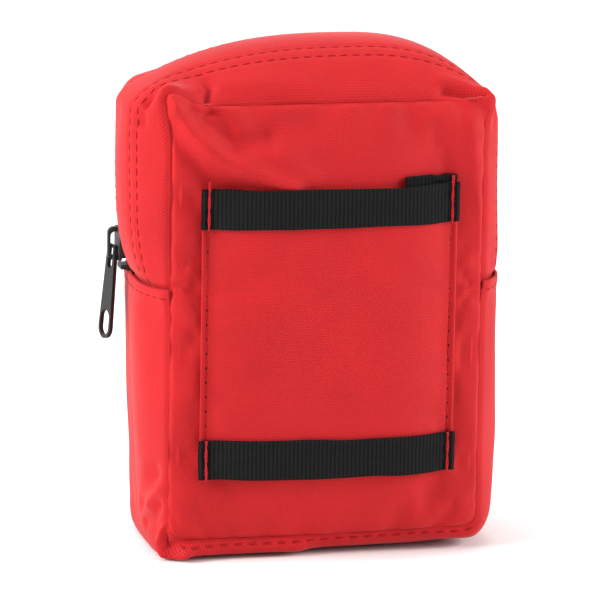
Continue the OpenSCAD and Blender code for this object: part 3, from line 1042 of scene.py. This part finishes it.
def rear_strip():
    """The strip behind the zip, with its two topstitched rows and the gathered corner."""
    points, normals, along, across = upper_strip(0, REAR_COLS, REAR_COLS)
    corner = along[round((CORNER_LEFT - FOLD_LEFT + TUCKED) * FINE), 0]
    plane = np.stack([along - corner, across], axis=-1)
    end = along.max()
    fade = edge_fade(across, 0.8)
    folds = [([(-end, line), (end, line)], 0.5, -0.3) for line in STITCH_LINES]
    folds += [
        ([(101, 3.0), (109, 2.5), (116, 1.7)], 1.4, -2.3),
        ([(98, 6.6), (107, 6.2), (114, 4.8)], 2.0, 1.2),
        ([(20, 6), (50, 4)], 2.5, 0.6),
    ]
    points = gathered_corner(folded(points, plane, normals, folds, fade), fade)
    points = back_seam.draw_in(points)
    piece = sheet_object("rear_zip_cloth", points, RED, LINING)
    settle(piece, ["rear_zip_gusset"])
    for k, line in enumerate(STITCH_LINES):
        stitch_row(f"rear_topstitch_{k + 1}", points, across, line, "pouch")
    stitch_row("rear_topstitch_zip", points, across, across.max() - 1.8, "pouch", -0.08)


def gathered_corner(points, fade):
    """A deep fold that arches over the pinched corner from the side seam to the top seam."""
    outward = unit(points - [38, 8, 126])
    arch = [
        (56.5, 19, 136), (56, 20.5, 142), (54, 21, 146.5), (49.5, 20, 150.5),
        (44, 19, 152.2), (39.5, 20.5, 150.8), (36.5, 23, 147.5), (38.5, 25.6, 143),
    ]
    lobe = [(51, 24.6, 146.5), (46, 24, 149), (42, 24.4, 147.5)]
    points = fold(points, points, outward, arch, 1.7, -2.6, fade)
    return fold(points, points, outward, lobe, 2.2, 1.1, fade)


def stitch_row(name, points, across, line, body, rise=0.1):
    """A row of topstitching that runs along a strip, at one distance from its seam."""
    column = np.interp(line, across[0], np.arange(across.shape[1]))
    rows = np.arange(3, points.shape[0] - 3)
    cols = np.full(len(rows), column)
    sewn_row(name, points, rows, cols, body, pitch=3.8, gap=0.8, radius=0.22, rise=rise)


def front_strip():
    points, _, _, across = upper_strip(REAR_COLS + GAP_COLS, COLS, REAR_COLS + GAP_COLS)
    points = front_seam.draw_in(points)
    stitch_row("front_topstitch", points, across, 1.8, "lid", -0.08)
    piece = sheet_object("front_zip_cloth", points, RED, LINING)
    settle(piece, ["front_zip_gusset"], "lid")


# ---- belt loop ----

LOOP_HALF = LOOP_HIGH[0]
STITCH_X = LOOP_HALF - 1.9
LOOP_CREST = LOOP_HIGH[1] - 0.4


def loop_surface(x, z, lift):
    """The belt loop's outer face, sewn to the back at its sides and bowed out between."""
    u = np.interp(x, back[:, UP // 2, 0], np.arange(ACROSS + 1))
    v = np.interp(z, back[ACROSS // 2, :, 2], np.arange(UP + 1))
    base = grid_at(back, u, v)[..., 1] + 1.1
    t = np.clip((STITCH_X - 0.6 - np.abs(x)) / 24, 0, 1)
    y = base + (LOOP_CREST - base) * np.sin(t * np.pi / 2) ** 1.3 + lift
    y = y + 0.45 * np.exp(-(((np.abs(x) - LOOP_HALF + 0.5) / 0.5) ** 2))
    y = y - 0.25 * np.exp(-(((np.abs(x) - STITCH_X) / 0.5) ** 2))
    return np.stack([x, y, z], axis=-1)


def loop_sheet(name, x0, x1, z0, z1, lift, thick, material, nodes, ragged=0.0, seed=1):
    across_mm, up_mm = 2.4, 1.6            # cells to a millimetre
    x = np.linspace(x0, x1, round((x1 - x0) * across_mm) + 1)
    z = np.linspace(z0, z1, round((z1 - z0) * up_mm) + 1)
    xx, zz = np.meshgrid(x, z, indexing="ij")
    zz = zz + ragged * smooth_noise(xx.shape, (9, 2), seed)
    points = loop_surface(xx, zz, lift)
    points[..., 1] += 0.25 * smooth_noise(xx.shape, (6, 7), seed + 1)
    piece = sheet_object(name, points, material, thick=thick, flip=True)
    settle(piece, nodes)


def belt_loop():
    low, high = LOOP_LOW[2], LOOP_HIGH[2]
    loop_sheet(
        "belt_loop_cloth", -LOOP_HALF, LOOP_HALF, low, high, 0, 1.0, RED,
        ["belt_loop_panel"])
    for k, node in enumerate(("webbing_bottom", "webbing_top")):
        start, end = box_mm(node)
        top = end[2] if k == 0 else end[2] - 2.6
        loop_sheet(
            node + "_ribbon", start[0], end[0], start[2], top, 1.2, 1.2, WEBBING,
            [node], 0.22, 3 + k)
    folded_top = box_mm("webbing_top")[1][2]
    loop_sheet(
        "webbing_folded_end", -LOOP_HALF, -LOOP_HALF + 17, folded_top - 9, folded_top, -1.1, 1.2,
        WEBBING, [], 0.15, 8)
    loop_stitches()


def loop_stitches():
    """Rows down the two sides, with dark lumps of painted shade at their needle holes, and the two
    twisted threads that hold the webbing's ends.
    """
    out = np.array([0.0, 1.0, 0.0])
    for side, name in ((1, "left"), (-1, "right")):
        low, high = box_mm("webbing_bottom")[1][2], box_mm("webbing_top")[0][2]
        z = np.linspace(low, high, 120)
        path = loop_surface(np.full_like(z, side * STITCH_X), z, 0.05)
        ups = np.tile(out, (len(z), 1))
        pitch = 4.5
        stitches = thread("loop_stitches_" + name, path, ups, BRIGHT_THREAD, pitch, 0.9, 0.2)
        path = path + [0, 0, -pitch / 2]
        # Short dark lumps between the stitches, at the needle holes: painted shade of the holes.
        hole_shades = thread("loop_hole_shades_" + name, path, ups, HOLE_SHADE, pitch, 3.4, 0.27, 0.03)
        settle(stitches)
        settle(hole_shades)
        for node in ("webbing_bottom", "webbing_top"):
            start, end = box_mm(node)
            z = np.linspace(start[2] - 0.5, end[2] + 0.1, 60)
            for phase in (0, math.pi):
                sway = side * STITCH_X + 0.22 * np.sin(z * 0.6 + phase)
                path = loop_surface(sway, z, 1.75)
                ups = np.tile(out, (len(z), 1))
                radii = 0.23 * (1 + 0.15 * np.sin(z * 4.2 + phase))
                vertices, faces = tubes(path[None], ups[None], radii[None])
                piece = mesh_object(
                    f"{node}_thread_{name}_{1 if phase else 2}", vertices, faces, BRIGHT_THREAD)
                settle(piece)


# ---- zip ----


def tape(name, side, nodes, body):
    """A zip tape: from under the gusset's edge to the teeth."""
    edge = REAR_COLS if side > 0 else REAR_COLS + GAP_COLS
    step = 1 if side > 0 else -1
    columns = [edge - 2 * step, edge - step, edge, edge + step, edge + 1.4 * step]
    depths = [2.0, 1.7, 1.3, 0.1, 0.0]
    u = np.linspace(FOLD_LEFT - 0.7, FOLD_RIGHT + 0.7, (FOLD_RIGHT - FOLD_LEFT) * 3)
    rows = []
    for column, depth in zip(columns, depths):
        line = fine_grid(gusset, u, np.array([column - 0.01, column, column + 0.01]), True)
        rows.append(line[:, 1] - grid_normals(line)[:, 1] * depth)
    control = np.stack(rows, axis=1)
    points = fine_grid(control, np.arange(len(u)), np.linspace(0, 4, 13))
    piece = sheet_object(name, points, TAPE, thick=0.5, flip=side < 0)
    settle(piece, nodes, body)


def teeth(name, side, nodes, body):
    """One row of coil teeth, which reach across the middle between those of the other row."""
    column = REAR_COLS + GAP_COLS / 2
    u = np.linspace(FOLD_LEFT + 0.2, FOLD_RIGHT - 0.2, 600)
    line = fine_grid(gusset, u, np.array([column - 0.1, column, column + 0.1]), True)
    out = grid_normals(line)[:, 1]
    line = line[:, 1]
    reach = path_reach(line)
    pitch = 1.5
    places = np.arange(2, reach[-1] - 2, pitch) + (0 if side > 0 else pitch / 2)
    middle = at_reach(places, reach, line)
    ups = unit(at_reach(places, reach, out))
    t = np.linspace(0, 1, 6)
    offset = side * (3.0 - 3.7 * t)
    height = 0.1 + 0.75 * np.sin(np.pi * np.clip(t * 0.9 + 0.1, 0, 1)) ** 0.5
    sideways = np.stack([0 * t, offset, 0 * t], axis=1)
    centres = middle[:, None] + sideways + ups[:, None] * height[:, None]
    depth = 0.75
    centres = centres - ups[:, None] * depth
    radii = np.array([0.36, 0.4, 0.4, 0.4, 0.46, 0.3])
    vertices, faces = tubes(centres, np.repeat(ups[:, None], 6, axis=1), radii, 6)
    piece = mesh_object(name, vertices, faces, TEETH)
    settle(piece, nodes, body)


def zip_rows():
    tape("rear_tape", 1, ["zip_tape_rear"], "pouch")
    teeth("rear_teeth", 1, ["zip_teeth_rear"], "pouch")
    tape("front_tape", -1, ["zip_tape_front"], "lid")
    teeth("front_teeth", -1, ["zip_teeth_front", "zip_end_rows"], "lid")


# ---- seam bindings ----


def binding(name, column, nodes, body):
    """Black tape over a seam's raw edges, sewn flat inside the gusset beside the seam."""
    cloth = refined(gusset, 0, RING, column - 0.1, column + 0.1, True)[:-1]
    inward = -grid_normals(cloth)[::2, 0]
    clearance = 2.4
    line = cloth[::2, 0] + inward * clearance
    piece = band_object(name, line, inward, rounded(1.3, 0.35, 0.3), BINDING)
    settle(piece, nodes, body)


# ---- hard parts ----


def softened(node, material, width=0.2, body="pouch"):
    """A CAD node's form with rounded edges."""
    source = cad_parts[node]
    piece = linked(node + "_rounded", source.data.copy())
    piece.matrix_world = source.matrix_world.copy()
    piece.data.materials.clear()
    piece.data.materials.append(material)
    bevel = piece.modifiers.new("rounding", "BEVEL")
    bevel.width = width * MM
    bevel.segments = 2
    bevel.limit_method = "ANGLE"
    bevel.angle_limit = math.radians(40)
    evaluated = piece.evaluated_get(bpy.context.evaluated_depsgraph_get())
    mesh = bpy.data.meshes.new_from_object(evaluated)
    piece.modifiers.clear()
    piece.data = mesh
    settle(piece, [node], body)


# ---- contents ----


def packet(name, low, high, material, soft, wrinkle, seed):
    """A soft flat packet that fills a box, thin at its sealed edges and a little wrinkled."""
    spans = [np.linspace(low[k], high[k], max(12, round((high[k] - low[k]) * 0.9))) for k in (0, 2)]
    xx, zz = np.meshgrid(*spans, indexing="ij")
    inside = np.minimum(
        np.minimum(xx - low[0], high[0] - xx), np.minimum(zz - low[2], high[2] - zz))
    share = np.clip(inside / soft, 0, 1)
    full = 0.12 + 0.88 * np.sqrt(1 - (1 - share) ** 2)
    middle, half = (low[1] + high[1]) / 2, (high[1] - low[1]) / 2
    faces = []
    for side in (-1, 1):
        dents = wrinkle * share * (1 + smooth_noise(xx.shape, (6, 8), seed + side))
        thick = np.maximum(half * full - dents, 0.06)
        faces.append(np.stack([xx, middle + side * thick, zz], axis=-1))
    return sheet_object(name, faces[0], material, inner=faces[1])


def packets(node, material, soft, wrinkle, boxes=None):
    """Packets in place of a CAD node: one that fills it, or one for each given box."""
    boxes = boxes or [box_mm(node)]
    for k, (low, high) in enumerate(boxes):
        piece = packet(f"{node}_soft_{k + 1}", low, high, material, soft, wrinkle, 11 * k + 3)
        settle(piece, [node])


def trimmed(node, below, above):
    """A CAD node's box made smaller, so that a flat packet clears the curved cloth beside it."""
    low, high = box_mm(node)
    return [(low + below, high - above)]


def stacked(node, count, pitch, size, shift):
    """Boxes of a stack of equal packets: each one pitch further back and moved by shift(k)."""
    low, _ = box_mm(node)
    shifts = np.array([shift(k) for k in range(count)], float)
    first = low - [shifts[:, 0].min(), 0, shifts[:, 1].min()]
    boxes = []
    for k in range(count):
        corner = first + [shifts[k, 0], k * pitch, shifts[k, 1]]
        boxes.append((corner, corner + np.array(size)))
    return boxes


def roll_profile(radius, length, layer, angle):
    """Rings of a roll, each a radius and a place along it: one end, the side, the other end."""
    turn = angle / (2 * np.pi)
    ends = []
    for side in (-1, 1):
        rings = []
        for r in np.arange(0.4, radius - 0.3, layer / 4):
            groove = 0.5 * np.abs(np.sin(np.pi * (r / layer + turn))) + 0.25 * (1 - r / radius)
            rings.append((np.full_like(angle, r), side * (length / 2 - 0.75 + groove)))
        ends.append(rings)
    wall = []
    for t in np.linspace(-1, 1, 24):
        wave = 0.12 * np.sin(9 * t + 3 * np.cos(angle))
        along = np.full_like(angle, t * (length / 2 - 0.9))
        wall.append((radius - 0.2 - 0.7 * turn + wave - 0.1, along))
    return ends[0] + wall + ends[1][::-1]


def roll(node, axis, material, slot, layer):
    """A rolled bandage: spiral layers on its ends, and a free end that stands off its side."""
    sides = 72
    low, high = box_mm(node)
    others = [k for k in range(3) if k != axis]
    radius = (high[others[0]] - low[others[0]]) / 2
    angle = np.linspace(0, 2 * np.pi, sides, endpoint=False)
    vertices = []
    for r, along in roll_profile(radius, high[axis] - low[axis], layer, angle):
        ring_points = np.zeros((sides, 3))
        ring_points[:, axis] = along
        ring_points[:, others[0]] = r * np.cos(angle)
        ring_points[:, others[1]] = r * np.sin(angle)
        vertices.append(ring_points + (low + high) / 2)
    rows = len(vertices)
    faces = []
    for i in range(rows - 1):
        a, b = i * sides, (i + 1) * sides
        faces += [(a + k, a + (k + 1) % sides, b + (k + 1) % sides, b + k) for k in range(sides)]
    faces.append(tuple(range(sides))[::-1])
    faces.append(tuple(range((rows - 1) * sides, rows * sides)))
    if axis == 1:
        faces = [face[::-1] for face in faces]
    piece = mesh_object(node + "_rolled", np.concatenate(vertices), faces, material)
    settle(piece, [node])


def rolled_goods():
    cotton = paper_material("bandage_cotton", (0.78, 0.74, 0.66), (0.55, 0.51, 0.43), 0.8)
    cohesive = paper_material(
        "cohesive_weave", (0.10, 0.24, 0.55), (0.04, 0.12, 0.34), 1.1, 0.8, 0.0002)
    for name, axis, layer in (("large", 0, 1.3), ("medium", 0, 1.3), ("standing", 2, 1.1)):
        roll("bandage_roll_" + name, axis, cotton, "bandage_cotton", layer)
    roll("cohesive_bandage", 1, cohesive, "cohesive_weave", 1.2)


def flat_goods():
    """Wrapped and folded goods, one material each."""
    film = paper_material("dressing_film", (0.80, 0.82, 0.80), (0.62, 0.65, 0.64), 1.6, 0.35)
    packets("wound_dressing", film, 5, 0.35)
    green = paper_material("triangle_film", (0.55, 0.72, 0.60), (0.38, 0.56, 0.44), 1.8, 0.35)
    packets("triangular_bandage", green, 5, 0.35)
    shield = plastic_material("shield_film", (0.16, 0.42, 0.62), (0.09, 0.28, 0.46))
    mask = trimmed("face_shield", [1, 0, 4.2], [1, 0, 0])
    packets("face_shield", shield, 3, 0.2, mask)
    bag = paper_material("glove_bag", (0.50, 0.62, 0.74), (0.36, 0.48, 0.62), 2.0, 0.3)
    packets("gloves_packet", bag, 3, 0.3)
    rescue = foil_material("rescue_foil", (0.83, 0.62, 0.22), (0.58, 0.38, 0.10), 0.85)
    packets("foil_blanket", rescue, 4, 0.5)
    paper = paper_material("leaflet_paper", (0.84, 0.84, 0.82), (0.66, 0.66, 0.63), 3.0, 0.75)
    leaflet = trimmed("guide_leaflet", [3, 0, 1], [3, 0.25, 4])
    packets("guide_leaflet", paper, 0.5, 0.04, leaflet)
    tan = paper_material("plaster_wrapper", (0.80, 0.70, 0.55), (0.66, 0.52, 0.36), 1.2, 0.55)
    strips = stacked("plaster_strips", 9, 0.9, (19, 0.7, 72), lambda k: (0.4 * (k % 2), 0.6 * (k % 3)))
    packets("plaster_strips", tan, 2.0, 0.04, strips)
    wipe = foil_material("wipe_foil", (0.62, 0.74, 0.84), (0.42, 0.56, 0.70), 0.35)
    sachets = stacked("wipe_sachets", 3, 1.3, (46, 1.1, 48), lambda k: (k * 2.2, -k * 3))
    packets("wipe_sachets", wipe, 4.0, 0.06, sachets)
    gauze = paper_material("gauze_wrapper", (0.82, 0.83, 0.84), (0.55, 0.66, 0.78), 2.4, 0.5)
    gauzes = stacked("gauze_packets", 2, 1.9, (43, 1.7, 74), lambda k: (-k * 1.6, k * 2.5))
    packets("gauze_packets", gauze, 4.0, 0.1, gauzes)


def hard_goods():
    """The tape on its spool, the pins, the scissors and the tweezers."""
    white = plastic_material("spool_plastic", (0.72, 0.72, 0.70), (0.60, 0.60, 0.58))
    tape_cloth = paper_material("tape_cloth", (0.80, 0.70, 0.55), (0.66, 0.54, 0.40), 0.5)
    handle = plastic_material("handle_plastic", (0.55, 0.025, 0.025), (0.40, 0.012, 0.012))
    for node in ("tape_spool", "tape_cover"):
        softened(node, white)
    softened("tape_roll", tape_cloth)
    softened("safety_pins", STEEL, 0.3)
    softened("scissors_blade_fixed", STEEL, 0.15)
    softened("scissors_rivet", STEEL, 0.3)
    softened("scissors_handle_fixed", handle, 0.9)
    softened("scissors_blade_moving", STEEL, 0.15, body="scissors_arm")
    softened("scissors_handle_moving", handle, 0.9, body="scissors_arm")
    softened("tweezers_fixed_arm", STEEL, 0.15)
    softened("tweezers_moving_arm", STEEL, 0.15, body="tweezers_arm")


WEBBING = webbing_material()
THREAD = thread_material("red_thread", (0.42, 0.008, 0.012), (0.2, 0.004, 0.006))
# Near-black red for the belt loop's needle holes: painted shade of the holes, not the thread's own
# colour.
HOLE_SHADE = thread_material("needle_hole_painted_shade", (0.11, 0.003, 0.004), (0.06, 0.001, 0.002))
BRIGHT_THREAD = thread_material("bright_red_thread", (0.56, 0.014, 0.02), (0.32, 0.006, 0.01))
TAPE = plastic_material("zip_tape", (0.02, 0.02, 0.022), (0.008, 0.008, 0.009))
TEETH = plastic_material("zip_teeth", (0.03, 0.03, 0.032), (0.015, 0.015, 0.016))
BINDING = plastic_material("seam_binding", (0.018, 0.018, 0.02), (0.008, 0.008, 0.009))
STEEL = steel_material()
ENAMEL = enamel_material("black_enamel", (0.012, 0.012, 0.013), (0.12, 0.12, 0.12))

back_cloth()
front_cloth()
lower_cloth()
rear_strip()
front_strip()
belt_loop()
zip_rows()
binding("back_binding", 2, ["back_seam_binding"], "pouch")
binding("front_binding", COLS - 2, ["front_seam_binding_lower", "front_seam_binding_upper"], "lid")
softened("slider_body", ENAMEL, body="slider")
softened("slider_bridge", ENAMEL, body="slider")
softened("zip_pull", ENAMEL, 0.3, body="pull")
softened("zip_end_stops", ENAMEL)
rolled_goods()
flat_goods()
hard_goods()
